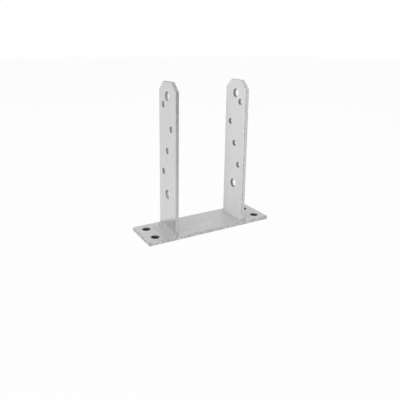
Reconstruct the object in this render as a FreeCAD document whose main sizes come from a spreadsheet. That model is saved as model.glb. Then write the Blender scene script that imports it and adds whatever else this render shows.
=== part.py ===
import FreeCAD, Part
import math
import os

import Sketcher

# Timber post base, bolt-down fork: two flat-bar uprights welded across a flat-bar base plate.
# Millimetres. X runs along the plate, Y across it, Z up. The origin is the middle of the plate's underside.

SIZES = [
    # name, value, what it is
    ("post_gap", 107.0, "clear distance between the two uprights"),
    ("bar_width", 50.0, "width of the upright's flat bar"),
    ("bar_thick", 5.0, "thickness of the upright's flat bar"),
    ("bar_height", 210.0, "length of the upright, from the plate to its top"),
    ("corner_across", 12.5, "top corner cut, measured across the bar"),
    ("corner_down", 12.0, "top corner cut, measured down the bar"),
    ("plate_overhang", 41.5, "plate beyond each upright's outer face"),
    ("plate_ledge", 5.0, "plate beyond each edge of an upright"),
    ("plate_thick", 5.0, "thickness of the base plate's flat bar"),
    ("arris_radius", 0.6, "rounding of a flat bar's long rolled edges"),
    ("anchor_dia", 12.0, "anchor hole in the plate"),
    ("anchor_from_end", 15.0, "anchor hole centre to the plate's end"),
    ("anchor_from_side", 15.0, "anchor hole centre to the plate's side"),
    ("bolt_dia", 12.0, "through-bolt hole in an upright"),
    ("bolt_from_top", 19.5, "upper bolt hole centre to the bar's top"),
    ("bolt_from_foot", 52.5, "lower bolt hole centre to the bar's foot"),
    ("screw_dia", 8.0, "screw hole in an upright"),
    ("screw_offset", 11.5, "staggered screw hole centre to the bar's centre line"),
    ("screw_below_bolt", 12.0, "top screw hole centre below the upper bolt hole centre"),
    ("weld_leg", 4.0, "leg of the fillet weld, on the bar and on the plate"),
    ("weld_back", 2.0, "centre of the bead's arc, behind the bar's face and below the plate"),
    ("ripple_pitch", 3.5, "spacing of the ripples along the bead, nearest whole number of them"),
    ("ripple_depth", 0.25, "depth of the groove between two ripples"),
]

# Sizes that follow from the ones above, as spreadsheet formulas.
DERIVED = [
    ("plate_length", "=post_gap + 2 * bar_thick + 2 * plate_overhang"),
    ("plate_width", "=bar_width + 2 * plate_ledge"),
    ("outer_face", "=post_gap / 2 + bar_thick"),
    ("bolt_high", "=bar_height - bolt_from_top"),
    ("screw_high", "=bar_height - bolt_from_top - screw_below_bolt"),
    ("screw_step", "=(bar_height - bolt_from_top - screw_below_bolt - bolt_from_foot) / 4"),
    ("bead_radius", "=sqrt(weld_back * weld_back + (weld_leg + weld_back) * (weld_leg + weld_back))"),
    ("run_ripples", "=max(2; round(bar_width / ripple_pitch))"),
    ("end_ripples", "=max(1; round(bar_thick / ripple_pitch))"),
    ("run_pitch", "=bar_width / max(2; round(bar_width / ripple_pitch))"),
    ("end_pitch", "=bar_thick / max(1; round(bar_thick / ripple_pitch))"),
]

ORIGIN_POINT = (-1, 1)
X_AXIS = -1
Y_AXIS = X_AXIS - 1


def make_sheet(doc):
    """Puts every size in the spreadsheet under its own name."""
    sheet = doc.addObject("Spreadsheet::Sheet", "Sizes")
    row = 1
    for name, value, meaning in SIZES:
        sheet.set(f"A{row}", name)
        sheet.set(f"B{row}", str(value))
        sheet.set(f"C{row}", meaning)
        sheet.setAlias(f"B{row}", name)
        row += 1
    for name, formula in DERIVED:
        sheet.set(f"A{row}", name)
        sheet.set(f"B{row}", formula)
        sheet.setAlias(f"B{row}", name)
        row += 1
    doc.recompute()
    return sheet


def make_body(doc, label):
    body = doc.addObject("PartDesign::Body", label)
    body.Label = label
    return body


def add_sketch(body, name, plane, offsets=None):
    """A sketch on one of the body's own origin planes, moved off it by named sizes where asked."""
    sketch = body.newObject("Sketcher::SketchObject", name)
    origin_plane = [f for f in body.Origin.OriginFeatures if f.Role == plane][0]
    sketch.AttachmentSupport = [(origin_plane, "")]
    sketch.MapMode = "FlatFace"
    for axis, formula in (offsets or {}).items():
        sketch.setExpression(f"AttachmentOffset.Base.{axis}", formula)
    return sketch


def size_constraint(sketch, kind, places, value, formula, name):
    """A dimension that takes its value from the spreadsheet."""
    number = sketch.addConstraint(Sketcher.Constraint(kind, *places, value))
    sketch.renameConstraint(number, name)
    sketch.setExpression(f"Constraints.{name}", formula)


def closed_outline(sketch, corners):
    """Straight lines from corner to corner, joined end to start."""
    lines = []
    for start, end in zip(corners, corners[1:] + corners[:1]):
        lines.append(sketch.addGeometry(Part.LineSegment(FreeCAD.Vector(*start, 0), FreeCAD.Vector(*end, 0))))
    for line, following in zip(lines, lines[1:] + lines[:1]):
        sketch.addConstraint(Sketcher.Constraint("Coincident", line, 2, following, 1))
    return lines


def add_circle(sketch, x, y, dia, dia_formula, name):
    circle = sketch.addGeometry(Part.Circle(FreeCAD.Vector(x, y, 0), FreeCAD.Vector(0, 0, 1), dia / 2))
    size_constraint(sketch, "Diameter", (circle,), dia, dia_formula, name + "Dia")
    return circle


def pad(body, sketch, formula, name):
    feature = body.newObject("PartDesign::Pad", name)
    feature.Profile = sketch
    feature.setExpression("Length", formula)
    return feature


def drill(doc, body, sketch, dia_formula, reversed_side, name):
    """Plain round holes right through, one at each circle of the sketch."""
    doc.recompute()
    before = body.Shape.Volume
    hole = body.newObject("PartDesign::Hole", name)
    hole.Profile = sketch
    hole.DepthType = "ThroughAll"
    hole.DrillPoint = "Flat"
    hole.Reversed = reversed_side
    hole.setExpression("Diameter", dia_formula)
    doc.recompute()
    if not body.Shape.Volume < before:
        raise RuntimeError(name + " cuts nothing")
    return hole


def round_arrises(doc, body, feature, length, direction, name):
    """Rounds the four long rolled edges of a flat bar."""
    doc.recompute()
    edges = []
    for number, edge in enumerate(feature.Shape.Edges, 1):
        if not isinstance(edge.Curve, Part.Line):
            continue
        if edge.Length >= length and abs(edge.tangentAt(edge.FirstParameter).dot(direction)) > 0.999:
            edges.append(f"Edge{number}")
    fillet = body.newObject("PartDesign::Fillet", name)
    fillet.Base = (feature, edges)
    fillet.setExpression("Radius", "Sizes.arris_radius")
    doc.recompute()
    return fillet


def build_base_plate(doc, sheet):
    body = make_body(doc, "base_plate")
    half_length = sheet.plate_length / 2
    half_width = sheet.plate_width / 2

    outline = add_sketch(body, "PlateOutline", "XY_Plane")
    corners = [(-half_length, -half_width), (half_length, -half_width),
               (half_length, half_width), (-half_length, half_width)]
    front, right, back, left = closed_outline(outline, corners)
    outline.addConstraint(Sketcher.Constraint("Horizontal", front))
    outline.addConstraint(Sketcher.Constraint("Horizontal", back))
    outline.addConstraint(Sketcher.Constraint("Vertical", right))
    outline.addConstraint(Sketcher.Constraint("Vertical", left))
    outline.addConstraint(Sketcher.Constraint("Symmetric", front, 1, back, 1, *ORIGIN_POINT))
    size_constraint(outline, "DistanceX", (front, 1, front, 2), 2 * half_length, "Sizes.plate_length", "Length")
    size_constraint(outline, "DistanceY", (right, 1, right, 2), 2 * half_width, "Sizes.plate_width", "Width")
    plate = pad(body, outline, "Sizes.plate_thick", "Plate")
    round_arrises(doc, body, plate, half_length, FreeCAD.Vector(1, 0, 0), "RolledEdges")

    centres = add_sketch(body, "AnchorCentres", "XY_Plane")
    x = half_length - sheet.anchor_from_end
    y = half_width - sheet.anchor_from_side
    first = add_circle(centres, x, y, sheet.anchor_dia, "Sizes.anchor_dia", "Anchor")
    size_constraint(centres, "DistanceX", (*ORIGIN_POINT, first, 3), x,
                    "Sizes.plate_length / 2 - Sizes.anchor_from_end", "Along")
    size_constraint(centres, "DistanceY", (*ORIGIN_POINT, first, 3), y,
                    "Sizes.plate_width / 2 - Sizes.anchor_from_side", "Across")
    for mirrored, about in (((-x, y), (Y_AXIS,)), ((x, -y), (X_AXIS,)), ((-x, -y), ORIGIN_POINT)):
        circle = centres.addGeometry(
            Part.Circle(FreeCAD.Vector(*mirrored, 0), FreeCAD.Vector(0, 0, 1), sheet.anchor_dia / 2))
        centres.addConstraint(Sketcher.Constraint("Symmetric", first, 3, circle, 3, *about))
        centres.addConstraint(Sketcher.Constraint("Equal", first, circle))
    drill(doc, body, centres, "Sizes.anchor_dia", True, "AnchorHoles")
    return body


def bar_blank(doc, body, sheet):
    """The flat bar of an upright, its outer face on the body's YZ plane, with both top corners cut off."""
    half = sheet.bar_width / 2
    top = sheet.bar_height
    across = sheet.corner_across
    down = sheet.corner_down
    outline = add_sketch(body, "BarOutline", "YZ_Plane")
    corners = [(-half, 0), (half, 0), (half, top - down), (half - across, top),
               (-half + across, top), (-half, top - down)]
    foot, front, front_cut, head, back_cut, back = closed_outline(outline, corners)
    outline.addConstraint(Sketcher.Constraint("PointOnObject", foot, 1, X_AXIS))
    outline.addConstraint(Sketcher.Constraint("Symmetric", foot, 1, foot, 2, Y_AXIS))
    outline.addConstraint(Sketcher.Constraint("Symmetric", back, 1, front, 2, Y_AXIS))
    outline.addConstraint(Sketcher.Constraint("Symmetric", head, 2, head, 1, Y_AXIS))
    outline.addConstraint(Sketcher.Constraint("Vertical", front))
    size_constraint(outline, "DistanceX", (foot, 1, foot, 2), 2 * half, "Sizes.bar_width", "Width")
    size_constraint(outline, "DistanceY", (foot, 2, head, 1), top, "Sizes.bar_height", "Height")
    size_constraint(outline, "DistanceX", (head, 1, front, 2), across, "Sizes.corner_across", "CutAcross")
    size_constraint(outline, "DistanceY", (front, 2, head, 1), down, "Sizes.corner_down", "CutDown")
    bar = pad(body, outline, "Sizes.bar_thick", "Bar")
    round_arrises(doc, body, bar, top - down - 0.01, FreeCAD.Vector(0, 0, 1), "RolledEdges")


def bar_holes(doc, body, sheet):
    """Two bolt holes on the centre line, and four screw holes between them, stepping from side to side."""
    bolts = add_sketch(body, "BoltCentres", "YZ_Plane")
    for name, formula, height in (("Lower", "Sizes.bolt_from_foot", sheet.bolt_from_foot),
                                  ("Upper", "Sizes.bolt_high", sheet.bolt_high)):
        circle = add_circle(bolts, 0, height, sheet.bolt_dia, "Sizes.bolt_dia", name)
        bolts.addConstraint(Sketcher.Constraint("PointOnObject", circle, 3, Y_AXIS))
        size_constraint(bolts, "DistanceY", (*ORIGIN_POINT, circle, 3), height, formula, name + "Height")
    drill(doc, body, bolts, "Sizes.bolt_dia", True, "BoltHoles")

    screws = add_sketch(body, "ScrewCentres", "YZ_Plane")
    for step, side in ((1, 1), (2, 0), (3, -1), (4, 1)):
        name = f"Screw{step}"
        height = sheet.bolt_from_foot + step * sheet.screw_step
        circle = add_circle(screws, side * sheet.screw_offset, height, sheet.screw_dia, "Sizes.screw_dia", name)
        size_constraint(screws, "DistanceY", (*ORIGIN_POINT, circle, 3), height,
                        f"Sizes.bolt_from_foot + {step} * Sizes.screw_step", name + "Height")
        if side == 0:
            screws.addConstraint(Sketcher.Constraint("PointOnObject", circle, 3, Y_AXIS))
            continue
        places = (*ORIGIN_POINT, circle, 3) if side > 0 else (circle, 3, *ORIGIN_POINT)
        size_constraint(screws, "DistanceX", places, sheet.screw_offset, "Sizes.screw_offset", name + "Offset")
    drill(doc, body, screws, "Sizes.screw_dia", True, "ScrewHoles")


def stand_on_plate(body, side):
    """Stands the body on the plate at the left, side -1, or turned half round at the right, side 1."""
    turn = 0 if side < 0 else 180
    body.Placement.Rotation = FreeCAD.Rotation(FreeCAD.Vector(0, 0, 1), turn)
    sign = "-" if side < 0 else ""
    body.setExpression("Placement.Base.x", sign + "Sizes.outer_face")
    body.setExpression("Placement.Base.z", "Sizes.plate_thick")


def build_upright(doc, sheet, label, side):
    body = make_body(doc, label)
    bar_blank(doc, body, sheet)
    bar_holes(doc, body, sheet)
    stand_on_plate(body, side)
    return body


def end_near(sketch, curve, point):
    """Which end of a line or an arc, 1 or 2, lies at the point."""
    return min((1, 2), key=lambda end: sketch.getPoint(curve, end).distanceToPoint(point))


def join_ends(sketch, curves, points):
    """Joins each curve to the next at the point they share."""
    for curve, following, point in zip(curves, curves[1:] + curves[:1], points):
        places = (curve, end_near(sketch, curve, point), following, end_near(sketch, following, point))
        sketch.addConstraint(Sketcher.Constraint("Coincident", *places))


def revolve(doc, body, sketch, axis, reversed_side, name):
    """A quarter turn of the sketch about one of its own axes."""
    feature = body.newObject("PartDesign::Revolution", name)
    feature.Profile = sketch
    feature.ReferenceAxis = (sketch, [axis])
    feature.Angle = 90
    feature.Reversed = reversed_side
    doc.recompute()
    return feature


def repeat(doc, body, feature, sketch, axis, count_formula, extent_formula, name):
    """Copies a feature along one of its sketch's axes."""
    pattern = body.newObject("PartDesign::LinearPattern", name)
    pattern.Originals = [feature]
    pattern.Direction = (sketch, [axis])
    pattern.setExpression("Occurrences", count_formula)
    pattern.setExpression("Length", extent_formula)
    body.Tip = pattern
    doc.recompute()
    return pattern


def ripple_sketch(body, sheet, name, offsets, along_y, start, side, pitch_name):
    """Half section of one ripple, on a sketch whose own axis is the axis of the bead.

    The bead runs along the sketch's Y axis where along_y is true, and along its X axis where it isn't.
    start is where the ripple begins on that axis, and side, -1 or 1, is the side of the axis it is on.
    """
    sketch = add_sketch(body, name, "XY_Plane", offsets)
    pitch = getattr(sheet, pitch_name)
    groove = sheet.bead_radius - sheet.ripple_depth
    flat = [(0, start), (side * groove, start), (side * sheet.bead_radius, start + pitch / 2),
            (side * groove, start + pitch), (0, start + pitch)]
    if not along_y:
        flat = [(v, u) for u, v in flat]
    axis_near, low, crest, high, axis_far = [FreeCAD.Vector(u, v, 0) for u, v in flat]
    near = sketch.addGeometry(Part.LineSegment(axis_near, low))
    crown = sketch.addGeometry(Part.Arc(low, crest, high))
    far = sketch.addGeometry(Part.LineSegment(high, axis_far))
    core = sketch.addGeometry(Part.LineSegment(axis_far, axis_near))
    join_ends(sketch, [near, crown, far, core], [low, high, axis_far, axis_near])

    own_axis, out, along = (Y_AXIS, "DistanceX", "DistanceY") if along_y else (X_AXIS, "DistanceY", "DistanceX")
    level, upright = ("Horizontal", "Vertical") if along_y else ("Vertical", "Horizontal")
    sketch.addConstraint(Sketcher.Constraint(level, near))
    sketch.addConstraint(Sketcher.Constraint(level, far))
    sketch.addConstraint(Sketcher.Constraint("PointOnObject", core, 1, own_axis))
    sketch.addConstraint(Sketcher.Constraint("PointOnObject", core, 2, own_axis))
    sketch.addConstraint(Sketcher.Constraint(upright, near, 2, far, 1))
    width_places = (near, 2, near, 1) if side < 0 else (near, 1, near, 2)
    size_constraint(sketch, out, width_places, groove, "Sizes.bead_radius - Sizes.ripple_depth", "Groove")
    size_constraint(sketch, along, (core, 2, core, 1), pitch, f"Sizes.{pitch_name}", "Pitch")
    crown_radius = (pitch * pitch / 4 + sheet.ripple_depth ** 2) / (2 * sheet.ripple_depth)
    size_constraint(sketch, "Radius", (crown,), crown_radius,
                    f"(Sizes.{pitch_name} ^ 2 / 4 + Sizes.ripple_depth ^ 2) / (2 * Sizes.ripple_depth)", "Crown")
    return sketch, core


def bead_run(doc, body, sheet):
    """The bead along the bar's outer face, from edge to edge."""
    half = sheet.bar_width / 2
    offsets = {"x": "Sizes.weld_back", "z": "-Sizes.weld_back"}
    sketch, core = ripple_sketch(body, sheet, "RunRipple", offsets, True, -half, -1, "run_pitch")
    size_constraint(sketch, "DistanceY", (core, 2, *ORIGIN_POINT), half, "Sizes.bar_width / 2", "Start")
    ripple = revolve(doc, body, sketch, "V_Axis", False, "RunTurned")
    repeat(doc, body, ripple, sketch, "V_Axis", "Sizes.run_ripples", "Sizes.bar_width - Sizes.run_pitch", "Run")


def bead_corner(doc, body, sheet, side, name):
    """The bead's turn round one long edge of the bar: its section swung about that edge."""
    sign = "" if side < 0 else "-"
    sketch = add_sketch(body, name + "Section", "XZ_Plane", {"z": sign + "Sizes.bar_width / 2"})
    leg = sheet.weld_leg
    back = sheet.weld_back
    crest = (sheet.bead_radius / math.sqrt(2)) - back
    root, toe, crown_top, upper = [FreeCAD.Vector(u, v, 0) for u, v in
                                   ((0, 0), (-leg, 0), (-crest, crest), (0, leg))]
    floor = sketch.addGeometry(Part.LineSegment(root, toe))
    crown = sketch.addGeometry(Part.Arc(toe, crown_top, upper))
    wall = sketch.addGeometry(Part.LineSegment(upper, root))
    join_ends(sketch, [floor, crown, wall], [toe, upper, root])
    sketch.addConstraint(Sketcher.Constraint("Coincident", floor, 1, *ORIGIN_POINT))
    sketch.addConstraint(Sketcher.Constraint("Horizontal", floor))
    sketch.addConstraint(Sketcher.Constraint("Vertical", wall))
    size_constraint(sketch, "DistanceX", (floor, 2, floor, 1), leg, "Sizes.weld_leg", "LegOut")
    size_constraint(sketch, "DistanceY", (wall, 2, wall, 1), leg, "Sizes.weld_leg", "LegUp")
    size_constraint(sketch, "Radius", (crown,), sheet.bead_radius, "Sizes.bead_radius", "Crown")
    revolve(doc, body, sketch, "V_Axis", side > 0, name)


def bead_return(doc, body, sheet, side, name):
    """The bead's short end along one edge of the bar, from the outer face to the inner one."""
    sign = "-" if side < 0 else ""
    inward = "+" if side < 0 else "-"
    offsets = {"y": f"{sign}Sizes.bar_width / 2 {inward} Sizes.weld_back", "z": "-Sizes.weld_back"}
    sketch, core = ripple_sketch(body, sheet, name + "Ripple", offsets, False, 0, side, "end_pitch")
    sketch.addConstraint(Sketcher.Constraint("PointOnObject", core, 2, Y_AXIS))
    ripple = revolve(doc, body, sketch, "H_Axis", side < 0, name + "Turned")
    repeat(doc, body, ripple, sketch, "H_Axis", "Sizes.end_ripples", "Sizes.bar_thick - Sizes.end_pitch", name)


def trim(doc, body, sheet, name, low, high, formulas, reversed_side):
    """Cuts away what would lie inside the bar or the plate, over a rectangle from low to high."""
    sketch = add_sketch(body, name + "Outline", "XY_Plane")
    corners = [low, (high[0], low[1]), high, (low[0], high[1])]
    front, right, back, left = closed_outline(sketch, corners)
    for line, kind in ((front, "Horizontal"), (back, "Horizontal"), (right, "Vertical")):
        sketch.addConstraint(Sketcher.Constraint(kind, line))
    sketch.addConstraint(Sketcher.Constraint("Symmetric", left, 1, left, 2, X_AXIS))
    size_constraint(sketch, "DistanceX", (front, 1, front, 2), high[0] - low[0], formulas[0], "Along")
    size_constraint(sketch, "DistanceY", (right, 1, right, 2), high[1] - low[1], formulas[1], "Across")
    if low[0] < 0:
        size_constraint(sketch, "DistanceX", (front, 1, *ORIGIN_POINT), -low[0], formulas[2], "Start")
    else:
        sketch.addConstraint(Sketcher.Constraint("PointOnObject", front, 1, Y_AXIS))
    before = body.Shape.Volume
    pocket = body.newObject("PartDesign::Pocket", name)
    pocket.Profile = sketch
    pocket.Type = "ThroughAll"
    pocket.Reversed = reversed_side
    doc.recompute()
    if not body.Shape.Volume < before:
        raise RuntimeError(name + " cuts nothing")


def build_weld(doc, sheet, label, side):
    """A convex fillet bead with its ripples, along the outer face of an upright and round both its edges."""
    body = make_body(doc, label)
    bead_run(doc, body, sheet)
    for end, name in ((-1, "Front"), (1, "Rear")):
        bead_corner(doc, body, sheet, end, name + "Corner")
        bead_return(doc, body, sheet, end, name + "Return")
    half = sheet.bar_width / 2
    reach = sheet.bead_radius
    trim(doc, body, sheet, "BarSeat", (0, -half), (sheet.bar_thick, half),
         ("Sizes.bar_thick", "Sizes.bar_width"), True)
    trim(doc, body, sheet, "PlateSeat", (-reach, -half - reach), (sheet.bar_thick + reach, half + reach),
         ("Sizes.bar_thick + 2 * Sizes.bead_radius", "Sizes.bar_width + 2 * Sizes.bead_radius",
          "Sizes.bead_radius"), False)
    stand_on_plate(body, side)
    return body


def check_document(doc, bodies):
    """Stops the build if anything in the document failed to recompute or came out empty."""
    for item in doc.Objects:
        if {"Invalid", "Error"} & set(item.State):
            raise RuntimeError(f"{item.Name} is {item.State}")
    for body in bodies:
        if body.Shape.isNull() or not body.Shape.isValid() or len(body.Shape.Solids) != 1:
            raise RuntimeError(f"{body.Label} has no single valid solid")


def main():
    doc = FreeCAD.newDocument("timber_post_base")
    sheet = make_sheet(doc)
    bodies = [
        build_base_plate(doc, sheet),
        build_upright(doc, sheet, "upright_left", -1),
        build_upright(doc, sheet, "upright_right", 1),
        build_weld(doc, sheet, "weld_left", -1),
        build_weld(doc, sheet, "weld_right", 1),
    ]
    doc.recompute()
    check_document(doc, bodies)
    os.makedirs("parts", exist_ok=True)
    for body in bodies:
        body.Shape.exportStep(f"parts/{body.Label}.step")
        box = body.Shape.BoundBox
        print(f"{body.Label}: {body.Shape.Volume:.0f} mm3, x {box.XMin:.2f} to {box.XMax:.2f}, "
              f"y {box.YMin:.2f} to {box.YMax:.2f}, z {box.ZMin:.2f} to {box.ZMax:.2f}")


main()
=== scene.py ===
import math

import bmesh
import bpy
from mathutils import Matrix, Vector


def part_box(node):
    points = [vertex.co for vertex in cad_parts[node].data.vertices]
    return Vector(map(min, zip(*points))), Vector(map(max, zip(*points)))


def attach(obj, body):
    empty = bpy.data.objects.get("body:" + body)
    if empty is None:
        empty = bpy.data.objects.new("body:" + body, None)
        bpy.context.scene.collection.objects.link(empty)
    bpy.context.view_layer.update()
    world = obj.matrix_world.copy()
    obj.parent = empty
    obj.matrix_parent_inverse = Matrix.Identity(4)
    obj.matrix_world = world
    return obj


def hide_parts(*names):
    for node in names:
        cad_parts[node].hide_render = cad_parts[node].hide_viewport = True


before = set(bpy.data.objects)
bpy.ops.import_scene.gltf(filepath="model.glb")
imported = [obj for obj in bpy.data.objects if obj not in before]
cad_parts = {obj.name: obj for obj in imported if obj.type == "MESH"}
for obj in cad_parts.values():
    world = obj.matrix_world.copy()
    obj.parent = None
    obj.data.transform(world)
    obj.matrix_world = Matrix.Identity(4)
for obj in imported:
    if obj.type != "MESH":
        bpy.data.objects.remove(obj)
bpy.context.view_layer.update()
scene = bpy.context.scene

mergeDistance = 0.000001  # points nearer than this are one, in metres
rounding = {"steps": 3, "sharperThan": 40.0}  # arrises turning by more degrees than this are rounded

shot = {
    "azimuth": -30.727, "elevation": 13.603, "roll": 0.805,  # degrees
    "distance": 0.69729, "aim": (0.031044, 0.062717, 0.098381),
    "lens": 38.976, "sensor": 36.0, "shiftDown": 0.125,
    "nearest": 0.01, "furthest": 50.0,
}

studio = {
    "floorSize": 16.0, "floorTone": 0.92, "floorGlow": 0.94,
    "coveredTone": 0.02, "coverInset": 0.003,  # painted shade: the floor under the plate
    "backdrop": 0.995, "fill": 0.93, "frontShade": 0.85, "shadeReach": 0.4, "mattShare": 0.72,
    "lampAim": (0, 0, 0.1),
    "lamps": (
        # name, place, width, power in watts
        ("highSoftbox", (0.00, 0.10, 1.70), 1.20, 6.0),
        ("leftPanel", (-1.15, -0.68, 0.30), 0.60, 7.0),
    ),
}


# small helpers for node trees

def addNode(tree, kind, values=None, **settings):
    node = tree.nodes.new(kind)
    for name, value in settings.items():
        setattr(node, name, value)
    for name, value in (values or {}).items():
        if isinstance(value, bpy.types.NodeSocket):
            tree.links.new(value, node.inputs[name])
        else:
            node.inputs[name].default_value = value
    return node


def maths(tree, operation, *terms):
    return addNode(tree, "ShaderNodeMath", dict(enumerate(terms)), operation=operation).outputs[0]


def vectorMaths(tree, operation, **terms):
    # first and second are the two vectors, and scale is the number that SCALE takes
    sockets = {"first": 0, "second": 1, "scale": "Scale"}
    values = {sockets[term]: value for term, value in terms.items()}
    return addNode(tree, "ShaderNodeVectorMath", values, operation=operation).outputs[0]


def addNoise(tree, vector, pattern, output="Fac"):
    return addNode(tree, "ShaderNodeTexNoise", {"Vector": vector, **pattern}).outputs[output]


def addLineNoise(tree, along, pattern):
    return addNode(tree, "ShaderNodeTexNoise", {"W": along, **pattern}, noise_dimensions="1D").outputs[0]


def mapRange(tree, value, values, **settings):
    return addNode(tree, "ShaderNodeMapRange", {"Value": value, **values}, **settings).outputs[0]


def readField(tree, label):
    node = addNode(tree, "GeometryNodeInputNamedAttribute", {"Name": label}, data_type="FLOAT")
    return node.outputs["Attribute"]


def readMask(tree, label):
    return addNode(tree, "ShaderNodeAttribute", attribute_name=label).outputs["Fac"]


def join(tree, *shapes):
    node = addNode(tree, "GeometryNodeJoinGeometry")
    for shape in shapes:
        tree.links.new(shape, node.inputs[0])
    return node.outputs[0]


def newTree(name, kind, inputs, outputs):
    tree = bpy.data.node_groups.new(name, kind)
    for direction, sockets in (("INPUT", inputs), ("OUTPUT", outputs)):
        for label, socketType, value in sockets:
            item = tree.interface.new_socket(label, in_out=direction, socket_type="NodeSocket" + socketType)
            if value is not None:
                item.default_value = value
    return tree, addNode(tree, "NodeGroupInput").outputs, addNode(tree, "NodeGroupOutput").inputs


def finishTree(tree, shape, given, result):
    # every shape leaves its tree smooth, real and with its finish on
    smooth = addNode(tree, "GeometryNodeSetShadeSmooth", {0: shape}).outputs[0]
    whole = addNode(tree, "GeometryNodeRealizeInstances", {0: smooth}).outputs[0]
    finish = {"Geometry": whole, "Material": given["Finish"]}
    tree.links.new(addNode(tree, "GeometryNodeSetMaterial", finish).outputs[0], result[0])


def grow(name, plan, tree, values, place, arris=None):
    # runs a tree on a plan and keeps the result as a plain mesh, put in its place
    maker = plan.modifiers.new(tree.name, "NODES")
    maker.node_group = tree
    for item in tree.interface.items_tree:
        if item.item_type == "SOCKET" and item.in_out == "INPUT" and item.name in values:
            maker[item.identifier] = values[item.name]
    if arris:
        soften = plan.modifiers.new("roundedArrises", "BEVEL")
        soften.width, soften.segments = arris, rounding["steps"]
        soften.limit_method, soften.angle_limit = "ANGLE", math.radians(rounding["sharperThan"])
        soften.harden_normals, soften.use_clamp_overlap = True, False
        soften.loop_slide = False  # sliding leaves slivers between the holes
    view = bpy.context.evaluated_depsgraph_get()
    evaluated = plan.evaluated_get(view)
    mesh = bpy.data.meshes.new_from_object(evaluated, preserve_all_data_layers=True, depsgraph=view)
    bpy.data.objects.remove(plan)
    mesh.name = name
    mesh.transform(place)
    mesh.materials.clear()
    mesh.materials.append(values["Finish"])
    piece = bpy.data.objects.new(name, mesh)
    scene.collection.objects.link(piece)
    return piece


def setField(mesh, label, values):
    mesh.attributes.new(label, "FLOAT", "POINT").data.foreach_set("value", values)


def newPlan(name, points, edges, fields):
    mesh = bpy.data.meshes.new(name)
    mesh.from_pydata(points, edges, [])
    for label, values in fields.items():
        setField(mesh, label, values)
    plan = bpy.data.objects.new(name, mesh)
    scene.collection.objects.link(plan)
    return plan


def closeLoop(points):
    return [(i, (i + 1) % len(points)) for i in range(len(points))]


def facing(side):
    # the right upright and its bead are the left ones, turned half a turn
    return Matrix.Rotation(0 if side < 0 else math.pi, 4, "Z")


# camera

def makeCamera():
    turn, rise, roll = (math.radians(shot[key]) for key in ("azimuth", "elevation", "roll"))
    back = Vector((math.sin(turn) * math.cos(rise), -math.cos(turn) * math.cos(rise), math.sin(rise)))
    right = Vector((0, 0, 1)).cross(back).normalized()
    up = back.cross(right)
    right, up = math.cos(roll) * right + math.sin(roll) * up, math.cos(roll) * up - math.sin(roll) * right
    data = bpy.data.cameras.new("camera")
    data.lens, data.sensor_width, data.shift_y = shot["lens"], shot["sensor"], -shot["shiftDown"]
    data.clip_start, data.clip_end = shot["nearest"], shot["furthest"]
    camera = bpy.data.objects.new("camera", data)
    place = Vector(shot["aim"]) + back * shot["distance"]
    camera.matrix_world = Matrix.Translation(place) @ Matrix((right, up, back)).transposed().to_4x4()
    scene.collection.objects.link(camera)
    scene.camera = camera


makeCamera()
print("camera placed")


# zinc finishes

barCoat = {
    "bump": 0.06, "bloom": 0.020, "spangle": 0.015, "grain": 0.010, "spangleSize": 0.0060, "streak": 0.015,
}

zinc = {
    # the two bars are one zinc; their darkening amounts differ, each set to the shade painted on its own bar
    "leftBar": {
        **barCoat, "colour": (0.630, 0.630, 0.630), "metal": 0.90, "roughness": 0.20,
        "edgeDarkening": 0.42, "edgeMottle": 0.13, "arrisDarkening": 0.0, "boreDarkening": 0.70,
    },
    "rightBar": {
        **barCoat, "colour": (0.660, 0.660, 0.660), "metal": 0.10, "roughness": 0.55,
        "edgeDarkening": 0.07, "edgeMottle": 0.10, "arrisDarkening": 0.97, "boreDarkening": 0.96,
    },
    "plate": {
        "colour": (0.590, 0.590, 0.590), "metal": 0.4, "roughness": 0.44, "bump": 0.15,
        "bloom": 0.045, "spangle": 0.040, "grain": 0.040, "spangleSize": 0.0045, "streak": 0.0,
        "edgeDarkening": 0.13, "edgeMottle": 0.40, "arrisDarkening": 0.03, "boreDarkening": 0.95,
        # a band of painted shade on the plate beside each weld: its strength, middle and reach, and how far it
        # strays
        "heatTint": 0.10, "heatLine": 0.0715, "heatReach": 0.0035, "heatStray": 0.010,
        "heatNoise": {"Scale": 120.0, "Detail": 2.0},
    },
    "bead": {
        "colour": (0.460, 0.460, 0.460), "metal": 0.6, "roughness": 0.55, "bump": 0.20,
        "bloom": 0.050, "spangle": 0.030, "grain": 0.050, "spangleSize": 0.0030, "streak": 0.0,
        "edgeDarkening": 0.0, "edgeMottle": 0.0, "arrisDarkening": 0.0, "boreDarkening": 0.0,
    },
}

# how the coat and its wear are patterned on every piece; noise scales are per metre
coating = {
    "clouds": {"Scale": 38.0, "Detail": 4.0, "Roughness": 0.55},
    "grains": {"Scale": 620.0, "Detail": 3.0, "Roughness": 0.6},
    "runs": {"Scale": 170.0, "Detail": 3.0}, "runStretch": (1.0, 1.0, 0.09),
    "wander": {"Scale": 240.0, "Detail": 2.0}, "wanderShare": 0.8,  # a crystal's outline strays, in crystals
    "swing": 3.0, "spangleSwing": 2.0,  # noise keeps near its middle, so its swing is the wider
    "roughnessShare": 0.9, "spangleTilt": 1.2,
    "grainHeight": 0.5, "cloudHeight": 1.2, "runHeight": 0.5, "bumpDistance": 0.0004,
}
wearAndShading = {
    "borePower": 2.0, "arrisGain": 2.0, "sideDulling": 0.8, "boreDulling": 0.30,
    "patches": {"Scale": 260.0, "Detail": 3.0}, "patchFrom": 0.35, "patchTo": 0.65,
}


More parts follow.
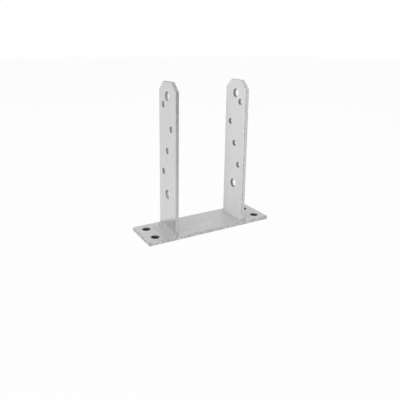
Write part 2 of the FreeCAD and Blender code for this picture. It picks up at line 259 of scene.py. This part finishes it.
def makeZincCoatTree():
    # cloudy bloom, crystal spangle, fine grain and dip streaks of a hot zinc bath
    tree, given, result = newTree("zincCoat", "ShaderNodeTree", (
        ("Vector", "Vector", None), ("Bloom", "Float", 0.03), ("Spangle", "Float", 0.02), ("Grain", "Float", 0.01),
        ("Spangle Size", "Float", 0.005), ("Streak", "Float", 0.02), ("Roughness", "Float", 0.35),
    ), (("Tone", "Float", None), ("Roughness", "Float", None), ("Height", "Float", None)))
    vector = given["Vector"]
    wander = addNoise(tree, vector, coating["wander"], "Color")
    wander = vectorMaths(tree, "SUBTRACT", first=wander, second=(0.5, 0.5, 0.5))
    reach = maths(tree, "MULTIPLY", given["Spangle Size"], coating["wanderShare"])
    wander = vectorMaths(tree, "SCALE", first=wander, scale=reach)
    crystals = addNode(tree, "ShaderNodeTexVoronoi", {
        "Vector": vectorMaths(tree, "ADD", first=vector, second=wander),
        "Scale": maths(tree, "DIVIDE", 1.0, given["Spangle Size"])}, feature="F1").outputs["Color"]
    facets = addNode(tree, "ShaderNodeSeparateColor", {0: crystals}).outputs
    cloud = addNoise(tree, vector, coating["clouds"])
    grain = addNoise(tree, vector, coating["grains"])
    along = vectorMaths(tree, "MULTIPLY", first=vector, second=coating["runStretch"])
    runs = addNoise(tree, along, coating["runs"])

    tone = 1.0
    rough = given["Roughness"]
    for pattern, amount, swing in ((cloud, "Bloom", "swing"), (facets[0], "Spangle", "spangleSwing"),
                                   (grain, "Grain", "swing"), (runs, "Streak", "swing")):
        share = maths(tree, "MULTIPLY", given[amount], coating[swing])
        shift = maths(tree, "MULTIPLY", maths(tree, "SUBTRACT", pattern, 0.5), share)
        tone = maths(tree, "ADD", tone, shift)
        rough = maths(tree, "SUBTRACT", rough, maths(tree, "MULTIPLY", shift, coating["roughnessShare"]))
    share = maths(tree, "MULTIPLY", given["Spangle"], coating["spangleTilt"])
    tilt = maths(tree, "MULTIPLY", maths(tree, "SUBTRACT", facets[1], 0.5), share)
    tree.links.new(tone, result["Tone"])
    tree.links.new(maths(tree, "ADD", rough, tilt), result["Roughness"])
    grains, clouds, streaks = (maths(tree, "MULTIPLY", pattern, coating[key]) for pattern, key in (
        (grain, "grainHeight"), (cloud, "cloudHeight"), (runs, "runHeight")))
    height = maths(tree, "ADD", maths(tree, "ADD", grains, clouds), streaks)
    tree.links.new(height, result["Height"])
    return tree


def makeZincWearAndShadeTree():
    # the drilled walls darkened with painted shade, the cut sides duller, mottled and darkened with painted shade,
    # and a broken line of painted shade along the arrises
    tree, given, result = newTree("zincWear", "ShaderNodeTree", (
        ("Vector", "Vector", None), ("Bore", "Float", 0.0), ("Side", "Float", 0.0), ("Arris", "Float", 0.0),
        ("Bore Darkening", "Float", 0.8), ("Edge Darkening", "Float", 0.1), ("Edge Mottle", "Float", 0.1),
        ("Arris Darkening", "Float", 0.1),
    ), (("Keep", "Float", None), ("Dullness", "Float", None)))
    # painted shade: the bores' colour is darkened
    bore = maths(tree, "POWER", given["Bore"], wearAndShading["borePower"])
    bore = maths(tree, "MULTIPLY", bore, given["Bore Darkening"])
    side = maths(tree, "MULTIPLY", given["Side"], given["Edge Darkening"])
    # painted shade: a broken dark line along the arrises, strong on the right upright
    arrisShade = maths(tree, "MINIMUM", maths(tree, "MULTIPLY", given["Arris"], wearAndShading["arrisGain"]), 1.0)
    arrisShade = maths(tree, "MULTIPLY", arrisShade, given["Arris Darkening"])
    patchy = addNoise(tree, given["Vector"], wearAndShading["patches"])
    patchy = mapRange(tree, patchy, {"From Min": wearAndShading["patchFrom"], "From Max": wearAndShading["patchTo"]})
    mottled = maths(tree, "MULTIPLY", given["Side"], maths(tree, "SUBTRACT", patchy, 0.5))
    mottled = maths(tree, "MULTIPLY", mottled, given["Edge Mottle"])
    cut = maths(tree, "SUBTRACT", maths(tree, "ADD", 1.0, mottled), side)
    keep = maths(tree, "MULTIPLY", maths(tree, "SUBTRACT", 1.0, bore), cut)
    keep = maths(tree, "MULTIPLY", keep, maths(tree, "SUBTRACT", 1.0, maths(tree, "MULTIPLY", arrisShade, patchy)))
    tree.links.new(keep, result["Keep"])
    dullSide = maths(tree, "MULTIPLY", side, wearAndShading["sideDulling"])
    dullBore = maths(tree, "MULTIPLY", given["Bore"], wearAndShading["boreDulling"])
    tree.links.new(maths(tree, "ADD", dullSide, dullBore), result["Dullness"])
    return tree


zincCoat = makeZincCoatTree()
zincWear = makeZincWearAndShadeTree()


def placeGroup(tree, group, look, vector):
    # a group's amounts are named after the look's own keys, so "Edge Mottle" takes edgeMottle
    node = addNode(tree, "ShaderNodeGroup", node_tree=group)
    tree.links.new(vector, node.inputs["Vector"])
    for socket in node.inputs:
        key = socket.name[0].lower() + socket.name[1:].replace(" ", "")
        if key in look:
            socket.default_value = look[key]
    return node


def paintedShadeBand(tree, look, place):
    # painted shade: a darker band on the plate, a little way out from each foot
    apart = maths(tree, "ABSOLUTE", addNode(tree, "ShaderNodeSeparateXYZ", {0: place}).outputs[0])
    stray = maths(tree, "SUBTRACT", addNoise(tree, place, look["heatNoise"]), 0.5)
    apart = maths(tree, "ADD", apart, maths(tree, "MULTIPLY", stray, look["heatStray"]))
    away = maths(tree, "ABSOLUTE", maths(tree, "SUBTRACT", apart, look["heatLine"]))
    return mapRange(tree, away, {"From Max": look["heatReach"], "To Min": look["heatTint"], "To Max": 0.0},
                    interpolation_type="SMOOTHSTEP")


def makeZincMaterial(name, look):
    material = bpy.data.materials.new(name)
    material.use_nodes = True
    tree = material.node_tree
    shader = tree.nodes["Principled BSDF"]
    place = addNode(tree, "ShaderNodeTexCoord").outputs["Object"]
    coat = placeGroup(tree, zincCoat, look, place)
    wearAndShadeGroup = placeGroup(tree, zincWear, look, place)
    # the bore mask carries painted shade into the bores' colour
    bore = readMask(tree, "bore")
    for label, mask in (("Bore", bore), ("Side", readMask(tree, "side")), ("Arris", readMask(tree, "arris"))):
        tree.links.new(mask, wearAndShadeGroup.inputs[label])
    keep = wearAndShadeGroup.outputs["Keep"]
    # painted shade beside the welds, on the plate
    if "heatTint" in look:
        keep = maths(tree, "MULTIPLY", keep, maths(tree, "SUBTRACT", 1.0, paintedShadeBand(tree, look, place)))
    tone = maths(tree, "MULTIPLY", coat.outputs["Tone"], keep)
    tree.links.new(vectorMaths(tree, "SCALE", first=look["colour"], scale=tone), shader.inputs["Base Color"])
    rough = maths(tree, "ADD", coat.outputs["Roughness"], wearAndShadeGroup.outputs["Dullness"])
    tree.links.new(rough, shader.inputs["Roughness"])
    shader.inputs["Metallic"].default_value = look["metal"]
    if look["boreDarkening"]:
        bare = mapRange(tree, bore, {"To Min": look["metal"], "To Max": 1.0})
        tree.links.new(bare, shader.inputs["Metallic"])
    bump = addNode(tree, "ShaderNodeBump", {"Strength": look["bump"], "Distance": coating["bumpDistance"],
                                            "Height": coat.outputs["Height"]})
    tree.links.new(bump.outputs[0], shader.inputs["Normal"])
    return material


leftBarZinc = makeZincMaterial("leftBarZinc", zinc["leftBar"])
rightBarZinc = makeZincMaterial("rightBarZinc", zinc["rightBar"])
plateZinc = makeZincMaterial("plateZinc", zinc["plate"])
beadZinc = makeZincMaterial("beadZinc", zinc["bead"])
print("zinc finishes mixed")


# flat bar, drilled and cut from a plan

def makeFlatBarTree():
    tree, given, result = newTree("drilledFlatBar", "GeometryNodeTree", (
        ("Plan", "Geometry", None), ("Thickness", "Float", 0.005), ("Corner Radius", "Float", 0.001),
        ("Corner Steps", "Int", 6), ("Hole Sides", "Int", 64), ("Finish", "Material", None),
    ), (("Flat Bar", "Geometry", None),))
    radius = readField(tree, "holeRadius")
    isHole = addNode(tree, "FunctionNodeCompare", {0: radius, 1: 0.0},
                     data_type="FLOAT", operation="GREATER_THAN").outputs[0]
    drawn = addNode(tree, "GeometryNodeSeparateGeometry", {0: given["Plan"], 1: isHole}, domain="POINT").outputs
    edge = addNode(tree, "GeometryNodeMeshToCurve", {0: drawn[1]}).outputs[0]
    edge = addNode(tree, "GeometryNodeFilletCurve", {
        "Curve": edge, "Radius": given["Corner Radius"], "Count": given["Corner Steps"]}, mode="POLY").outputs[0]
    rim = addNode(tree, "GeometryNodeCurvePrimitiveCircle", {
        "Resolution": given["Hole Sides"], "Radius": 1.0}).outputs[0]
    size = addNode(tree, "ShaderNodeCombineXYZ", {0: radius, 1: radius, 2: radius}).outputs[0]
    rims = addNode(tree, "GeometryNodeInstanceOnPoints", {
        "Points": drawn[0], "Instance": rim, "Scale": size}).outputs[0]
    rims = addNode(tree, "GeometryNodeRealizeInstances", {0: rims}).outputs[0]
    face = addNode(tree, "GeometryNodeFillCurve", {0: join(tree, edge, rims)}, mode="NGONS").outputs[0]
    raised = addNode(tree, "GeometryNodeExtrudeMesh", {
        "Mesh": face, "Offset Scale": given["Thickness"], "Individual": False}, mode="FACES").outputs[0]
    under = addNode(tree, "GeometryNodeFlipFaces", {0: face}).outputs[0]
    solid = addNode(tree, "GeometryNodeMergeByDistance", {
        0: join(tree, raised, under), "Distance": mergeDistance}).outputs[0]
    finishTree(tree, solid, given, result)
    return tree


flatBarTree = makeFlatBarTree()

masking = {
    "sideFrom": 0.1, "arrisTo": 0.9,  # depth below a face, in arris radii
    "fadeFrom": 0.25, "fadeOver": 0.65,  # where the sides' painted shade, mottle and dullness come in, in bar lengths
}


def maskBar(mesh, outline, holes, thickness, look, darkestBoreFace):
    # painted shade: a bore's wall is darkened, most at its crown and at one chosen face, less towards the other face
    bore, side, arris = [], [], []
    for vertex in mesh.vertices:
        x, y, z = vertex.co
        inside = min(z, thickness - z) / look["arris"]
        crown = [(y - cy) * 2 / across for cx, cy, across in holes
                 if math.hypot(x - cx, y - cy) < across / 2 + look["arris"]]
        depth = abs(z / thickness - darkestBoreFace)
        shadeInBore = 0.0
        if crown:
            shadeInBore = (1.0 - look["drain"] * (0.5 - 0.5 * crown[0])) * (1.0 - look["breakout"] * depth)
        bore.append(shadeInBore if inside > look["wallFrom"] else 0.0)
        # the sides' painted shade, mottle and dullness are weaker near an upright's foot
        risen = min(max((y / outline[2][1] - masking["fadeFrom"]) / masking["fadeOver"], 0.0), 1.0)
        faded = look["edgeFade"] + (1 - look["edgeFade"]) * risen
        if abs(x) > outline[1][0] - look["arris"]:
            faded *= look["endWear"]
        side.append(faded if inside > masking["sideFrom"] and not crown else 0.0)
        arris.append(1.0 if masking["sideFrom"] < inside < masking["arrisTo"] and not crown else 0.0)
    for label, values in (("bore", bore), ("side", side), ("arris", arris)):
        setField(mesh, label, values)


def cutFlatBar(name, outline, holes, thickness, look, finish, place, darkestBoreFace=0):
    # outline and holes are drawn flat, and the bar rises from them by its thickness
    points = [(x, y, 0) for x, y in outline] + [(x, y, 0) for x, y, across in holes]
    radii = [0.0] * len(outline) + [across / 2 for x, y, across in holes]
    plan = newPlan(name + "Plan", points, closeLoop(outline), {"holeRadius": radii})
    bar = grow(name, plan, flatBarTree, {
        "Thickness": thickness, "Corner Radius": look["cornerRadius"], "Corner Steps": look["cornerSteps"],
        "Hole Sides": look["holeSides"], "Finish": finish}, Matrix(), look["arris"])
    maskBar(bar.data, outline, holes, thickness, look, darkestBoreFace)
    bar.data.transform(place)
    return bar


plate = {
    "holeDiameter": 0.012, "holeFromEnd": 0.015, "holeFromSide": 0.015,
    "cornerRadius": 0.0012, "cornerSteps": 6, "arris": 0.0006, "holeSides": 64,
    "drain": 0.0, "breakout": 0.40, "wallFrom": 0.90, "edgeFade": 1.0,
    "endWear": 1.6,  # the cropped ends take the zinc worse than the rolled sides, and carry more painted shade
}


def makePlate():
    low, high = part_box("base_plate")
    outline = [(low.x, low.y), (high.x, low.y), (high.x, high.y), (low.x, high.y)]
    acrossPlate = high.x - plate["holeFromEnd"]
    alongPlate = high.y - plate["holeFromSide"]
    holes = [(i * acrossPlate, j * alongPlate, plate["holeDiameter"]) for i in (-1, 1) for j in (-1, 1)]
    lift = Matrix.Translation((0, 0, low.z))
    return cutFlatBar("anchorPlate", outline, holes, high.z - low.z, plate, plateZinc, lift)


upright = {
    "cornerAcross": 0.0125, "cornerDown": 0.012,
    "boltDiameter": 0.012, "boltFromTop": 0.0195, "boltFromFoot": 0.0525,
    "screwDiameter": 0.008, "screwAside": 0.0115, "screwBelowBolt": 0.012, "screwCount": 4,
    "cornerRadius": 0.0008, "cornerSteps": 6, "arris": 0.0006, "holeSides": 64,
    "drain": 0.05, "breakout": 0.80, "wallFrom": 0.10, "edgeFade": 0.35,
    "endWear": 1.0,
    "footSink": 0.0006,  # the weld draws the foot's rounded arris into the plate
}


def makeUpright(name, node, side):
    # drawn as seen from outside the fork, standing on its foot
    low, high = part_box(node)
    half, tall = (high.y - low.y) / 2, high.z - low.z
    across, down = upright["cornerAcross"], upright["cornerDown"]
    foot = -upright["footSink"]
    outline = [(-half, foot), (half, foot), (half, tall - down), (half - across, tall),
               (across - half, tall), (-half, tall - down)]
    lower, upper = upright["boltFromFoot"], tall - upright["boltFromTop"]
    holes = [(0, lower, upright["boltDiameter"]), (0, upper, upright["boltDiameter"])]
    step = (upper - upright["screwBelowBolt"] - lower) / upright["screwCount"]
    for i in range(upright["screwCount"]):
        # one side, the middle, the other side, and round again
        aside = upright["screwAside"] * (1 - i % 3)
        holes.append((aside, lower + step * (i + 1), upright["screwDiameter"]))
    stand = Matrix(((0, 0, 1, low.x if side < 0 else -high.x), (1, 0, 0, 0), (0, 1, 0, low.z), (0, 0, 0, 1)))
    finish = leftBarZinc if side < 0 else rightBarZinc
    darkestBoreFace = 0 if side < 0 else 1  # the bores' painted shade is deepest at the outer face on the left, the inner face on the right
    return cutFlatBar(name, outline, holes, high.x - low.x, upright, finish, facing(side) @ stand, darkestBoreFace)


anchorPlate = makePlate()
leftUpright = makeUpright("leftUpright", "upright_left", -1)
rightUpright = makeUpright("rightUpright", "upright_right", 1)
print("plate and uprights cut", [len(piece.data.polygons) for piece in (anchorPlate, leftUpright, rightUpright)])


# weld beads

bead = {
    "leg": 0.0040, "crown": 0.30, "skirt": 0.0005, "rootDepth": 0.0003,
    "ripplePitch": 0.0023, "rippleDepth": 0.00026, "crescent": 0.0020,
    "rippleJitter": 0.8, "jitterNoise": {"Scale": 0.7, "Detail": 0.0}, "rippleRoundness": 0.6, "rippleLevel": 0.75,
    "unevenness": 0.10, "unevenRate": 130.0, "unevenNoise": {"Scale": 1.0, "Detail": 1.0},
    "endTaper": 0.0030, "endSize": 0.70, "seed": 4.0,
    # how large the bead is along its seam, as the torch slows and quickens
    "swell": (
        (0.0, 0.42), (0.10, 0.52), (0.20, 1.30), (0.32, 1.40), (0.55, 1.05),
        (0.75, 0.75), (0.88, 0.62), (0.93, 0.50), (1.0, 0.50),
    ),
    "sectionSteps": 14, "cornerSteps": 14, "pathStep": 0.00025,
}


def makeBeadTree():
    tree, given, result = newTree("rippledBead", "GeometryNodeTree", (
        ("Seam", "Geometry", None), ("Section", "Object", None), ("Seam Length", "Float", 0.07),
        ("Ripple Pitch", "Float", 0.0023), ("Ripple Depth", "Float", 0.0002), ("Crescent", "Float", 0.002),
        ("Unevenness", "Float", 0.05), ("End Taper", "Float", 0.003), ("End Size", "Float", 0.6),
        ("Seed", "Float", 0.0), ("Finish", "Material", None),
    ), (("Bead", "Geometry", None),))
    path = addNode(tree, "GeometryNodeMeshToCurve", {0: given["Seam"]}).outputs[0]
    path = addNode(tree, "GeometryNodeSetCurveNormal", {0: path}, mode="Z_UP").outputs[0]
    section = addNode(tree, "GeometryNodeObjectInfo", {"Object": given["Section"]}).outputs["Geometry"]
    section = addNode(tree, "GeometryNodeMeshToCurve", {0: section}).outputs[0]

    # the bead swells along its seam, tapers at both ends and is a little uneven
    run = readField(tree, "run")
    fromEnd = maths(tree, "MINIMUM", run, maths(tree, "SUBTRACT", given["Seam Length"], run))
    grown = mapRange(tree, fromEnd, {"From Max": given["End Taper"], "To Min": given["End Size"]},
                     interpolation_type="SMOOTHSTEP")
    along = maths(tree, "ADD", maths(tree, "MULTIPLY", run, bead["unevenRate"]), given["Seed"])
    wander = maths(tree, "SUBTRACT", addLineNoise(tree, along, bead["unevenNoise"]), 0.5)
    wander = maths(tree, "MULTIPLY", wander, maths(tree, "MULTIPLY", given["Unevenness"], 2.0))
    size = maths(tree, "MULTIPLY", grown, readField(tree, "swell"))
    size = maths(tree, "MULTIPLY", size, maths(tree, "ADD", 1.0, wander))
    swept = addNode(tree, "GeometryNodeCurveToMesh", {
        "Curve": path, "Profile Curve": section, "Scale": size, "Fill Caps": True}).outputs[0]

    # each ripple is a crescent, its crown trailing behind its toes
    fromCrown = maths(tree, "ABSOLUTE", maths(tree, "SUBTRACT", readField(tree, "across"), 0.5))
    bow = maths(tree, "MULTIPLY", maths(tree, "POWER", fromCrown, 2.0), 4.0)
    phase = maths(tree, "ADD", run, maths(tree, "MULTIPLY", bow, given["Crescent"]))
    phase = maths(tree, "DIVIDE", phase, given["Ripple Pitch"])
    jitter = addLineNoise(tree, maths(tree, "ADD", phase, given["Seed"]), bead["jitterNoise"])
    phase = maths(tree, "ADD", phase, maths(tree, "MULTIPLY", jitter, bead["rippleJitter"]))
    wave = maths(tree, "ABSOLUTE", maths(tree, "SINE", maths(tree, "MULTIPLY", phase, math.pi)))
    wave = maths(tree, "SUBTRACT", maths(tree, "POWER", wave, bead["rippleRoundness"]), bead["rippleLevel"])
    wave = maths(tree, "MULTIPLY", wave, readField(tree, "face"))
    rise = maths(tree, "MULTIPLY", wave, given["Ripple Depth"])
    outward = addNode(tree, "GeometryNodeInputNormal").outputs[0]
    shift = vectorMaths(tree, "SCALE", first=outward, scale=rise)
    rippled = addNode(tree, "GeometryNodeSetPosition", {"Geometry": swept, "Offset": shift}).outputs[0]
    finishTree(tree, rippled, given, result)
    return tree


beadTree = makeBeadTree()


def makeBeadSection():
    # plate toe, convex face, bar toe, then the root corner; sized to the leg
    leg, crown, skirt, root = (bead[key] for key in ("leg", "crown", "skirt", "rootDepth"))
    points, across, face = [(leg + skirt, root)], [0.0], [0.0]
    for i in range(bead["sectionSteps"] + 1):
        t = i / bead["sectionSteps"]
        bulge = crown * leg * 2 * t * (1 - t)
        points.append((leg * (1 - t) + bulge + skirt * (1 - t) ** 4, -(leg * t + bulge + skirt * t ** 4)))
        across.append(t)
        face.append(math.sin(math.pi * t) ** 0.5 if 0 < i < bead["sectionSteps"] else 0.0)
    points += [(-root, -leg - skirt), (-root, root)]
    across += [1.0, 0.5]
    face += [0.0, 0.0]
    fields = {"across": across, "face": face}
    return newPlan("beadSection", [(x, y, 0) for x, y in points], closeLoop(points), fields)


def swellAt(part):
    for (start, before), (end, after) in zip(bead["swell"], bead["swell"][1:]):
        if part <= end:
            t = (part - start) / (end - start)
            return before + (after - before) * t * t * (3 - 2 * t)
    return bead["swell"][-1][1]


def seamTrack(inner, outer, half):
    # round the foot: one edge, a rounded arris, the outer face, the other arris, the other edge
    radius, step, turns = upright["arris"], bead["pathStep"], bead["cornerSteps"]
    straight = abs(inner - outer) - radius
    count = math.ceil(straight / step)
    track = [(inner, half)]
    track += [(inner - straight * (i + 1) / count, half) for i in range(count)]
    for i in range(1, turns + 1):
        angle = math.pi / 2 * i / turns
        track.append((outer + radius - radius * math.sin(angle), half - radius + radius * math.cos(angle)))
    count = math.ceil((half - radius) / step)
    track += [(outer, (half - radius) * (1 - (i + 1) / count)) for i in range(count)]
    return track + [(x, -y) for x, y in reversed(track[:-1])]


def measureRun(track):
    # length is measured along the middle of the bead, so ripples keep their pitch round the corners
    middle = []
    for i, (x, y) in enumerate(track):
        ahead, behind = track[min(i + 1, len(track) - 1)], track[max(i - 1, 0)]
        along = Vector((ahead[0] - behind[0], ahead[1] - behind[1])).normalized()
        middle.append(Vector((x, y)) + Vector((-along.y, along.x)) * -bead["leg"] * 0.5)
    run = [0.0]
    for before, after in zip(middle, middle[1:]):
        run.append(run[-1] + (after - before).length)
    return run


def makeBead(name, side):
    low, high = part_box("upright_left" if side < 0 else "upright_right")
    inner, outer = (high.x, low.x) if side < 0 else (-low.x, -high.x)
    track = seamTrack(inner, outer, high.y)
    run = measureRun(track)
    edges = [(i, i + 1) for i in range(len(track) - 1)]
    fields = {"run": run, "swell": [swellAt(reached / run[-1]) for reached in run]}
    plan = newPlan(name + "Seam", [(x, y, low.z) for x, y in track], edges, fields)
    section = makeBeadSection()
    weld = grow(name, plan, beadTree, {
        "Section": section, "Seam Length": run[-1], "Ripple Pitch": bead["ripplePitch"],
        "Ripple Depth": bead["rippleDepth"], "Crescent": bead["crescent"], "Unevenness": bead["unevenness"],
        "End Taper": bead["endTaper"], "End Size": bead["endSize"], "Seed": bead["seed"] + side,
        "Finish": beadZinc}, facing(side))
    bpy.data.objects.remove(section)
    shape = bmesh.new()
    shape.from_mesh(weld.data)
    bmesh.ops.remove_doubles(shape, verts=shape.verts, dist=mergeDistance)
    bmesh.ops.recalc_face_normals(shape, faces=shape.faces)
    shape.to_mesh(weld.data)
    shape.free()
    return weld


leftBead = makeBead("leftBead", -1)
rightBead = makeBead("rightBead", 1)
print("beads laid", len(leftBead.data.polygons), len(rightBead.data.polygons))

for piece, node, slotName in (
        (anchorPlate, "base_plate", "galvanised_bar"),
        (leftUpright, "upright_left", "galvanised_bar"),
        (rightUpright, "upright_right", "galvanised_bar"),
        (leftBead, "weld_left", "galvanised_weld"),
        (rightBead, "weld_right", "galvanised_weld")):
    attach(piece, "root")
    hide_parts(node)


# studio

def makeFloor():
    mesh = bpy.data.meshes.new("floor")
    reach = studio["floorSize"] / 2
    corners = [(-reach, -reach, 0), (reach, -reach, 0), (reach, reach, 0), (-reach, reach, 0)]
    mesh.from_pydata(corners, [], [(0, 1, 2, 3)])
    floor = bpy.data.objects.new("floor", mesh)
    scene.collection.objects.link(floor)
    material = bpy.data.materials.new("paleFloor")
    material.use_nodes = True
    tree = material.node_tree
    tree.nodes.clear()
    # no light gets in under the plate, and the floor there is painted near black as shade and kept from glowing, so
    # the floor seen through its holes is dark
    place = addNode(tree, "ShaderNodeTexCoord").outputs["Object"]
    spot = addNode(tree, "ShaderNodeSeparateXYZ", {0: place}).outputs
    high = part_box("base_plate")[1]
    covered = [maths(tree, "LESS_THAN", maths(tree, "ABSOLUTE", spot[i]), high[i] - studio["coverInset"])
               for i in (0, 1)]
    uncovered = maths(tree, "SUBTRACT", 1.0, maths(tree, "MULTIPLY", *covered))
    shade = mapRange(tree, uncovered, {"To Min": studio["coveredTone"], "To Max": studio["floorTone"]})
    matt = addNode(tree, "ShaderNodeBsdfDiffuse", {"Color": shade}).outputs[0]
    glow = addNode(tree, "ShaderNodeEmission", {"Color": (1, 1, 1, 1), "Strength": studio["backdrop"]}).outputs[0]
    rays = addNode(tree, "ShaderNodeLightPath").outputs
    seen = maths(tree, "MAXIMUM", rays["Is Camera Ray"], rays["Is Glossy Ray"])
    seen = maths(tree, "MULTIPLY", maths(tree, "MULTIPLY", seen, studio["floorGlow"]), uncovered)
    shown = addNode(tree, "ShaderNodeMixShader", {0: seen, 1: matt, 2: glow}).outputs[0]
    addNode(tree, "ShaderNodeOutputMaterial", {"Surface": shown})
    mesh.materials.append(material)


def makeWorld():
    world = bpy.data.worlds.new("studioWorld")
    scene.world = world
    world.use_nodes = True
    tree = world.node_tree
    tree.nodes.clear()
    white = addNode(tree, "ShaderNodeBackground", {"Color": (1, 1, 1, 1), "Strength": studio["backdrop"]}).outputs[0]
    # the room is darker on the near side of the object
    place = addNode(tree, "ShaderNodeTexCoord").outputs["Generated"]
    depth = addNode(tree, "ShaderNodeSeparateXYZ", {0: place}).outputs["Y"]
    room = mapRange(tree, depth, {"From Min": -1.0, "From Max": studio["shadeReach"],
                                  "To Min": studio["frontShade"], "To Max": studio["fill"]})
    rays = addNode(tree, "ShaderNodeLightPath").outputs
    share = mapRange(tree, rays["Is Glossy Ray"], {"To Min": studio["mattShare"], "To Max": 1.0})
    level = maths(tree, "MULTIPLY", room, share)
    dim = addNode(tree, "ShaderNodeBackground", {"Color": (1, 1, 1, 1), "Strength": level}).outputs[0]
    shown = addNode(tree, "ShaderNodeMixShader", {0: rays["Is Camera Ray"], 1: dim, 2: white}).outputs[0]
    addNode(tree, "ShaderNodeOutputWorld", {"Surface": shown})


def makeLamps():
    for name, place, width, power in studio["lamps"]:
        data = bpy.data.lights.new(name, "AREA")
        data.shape, data.size, data.energy = "SQUARE", width, power
        lamp = bpy.data.objects.new(name, data)
        lamp.location = place
        aim = Vector(studio["lampAim"]) - Vector(place)
        lamp.rotation_euler = aim.to_track_quat("-Z", "Y").to_euler()
        scene.collection.objects.link(lamp)


makeFloor()
makeWorld()
makeLamps()
scene.view_settings.view_transform = "Standard"
print("studio lit")
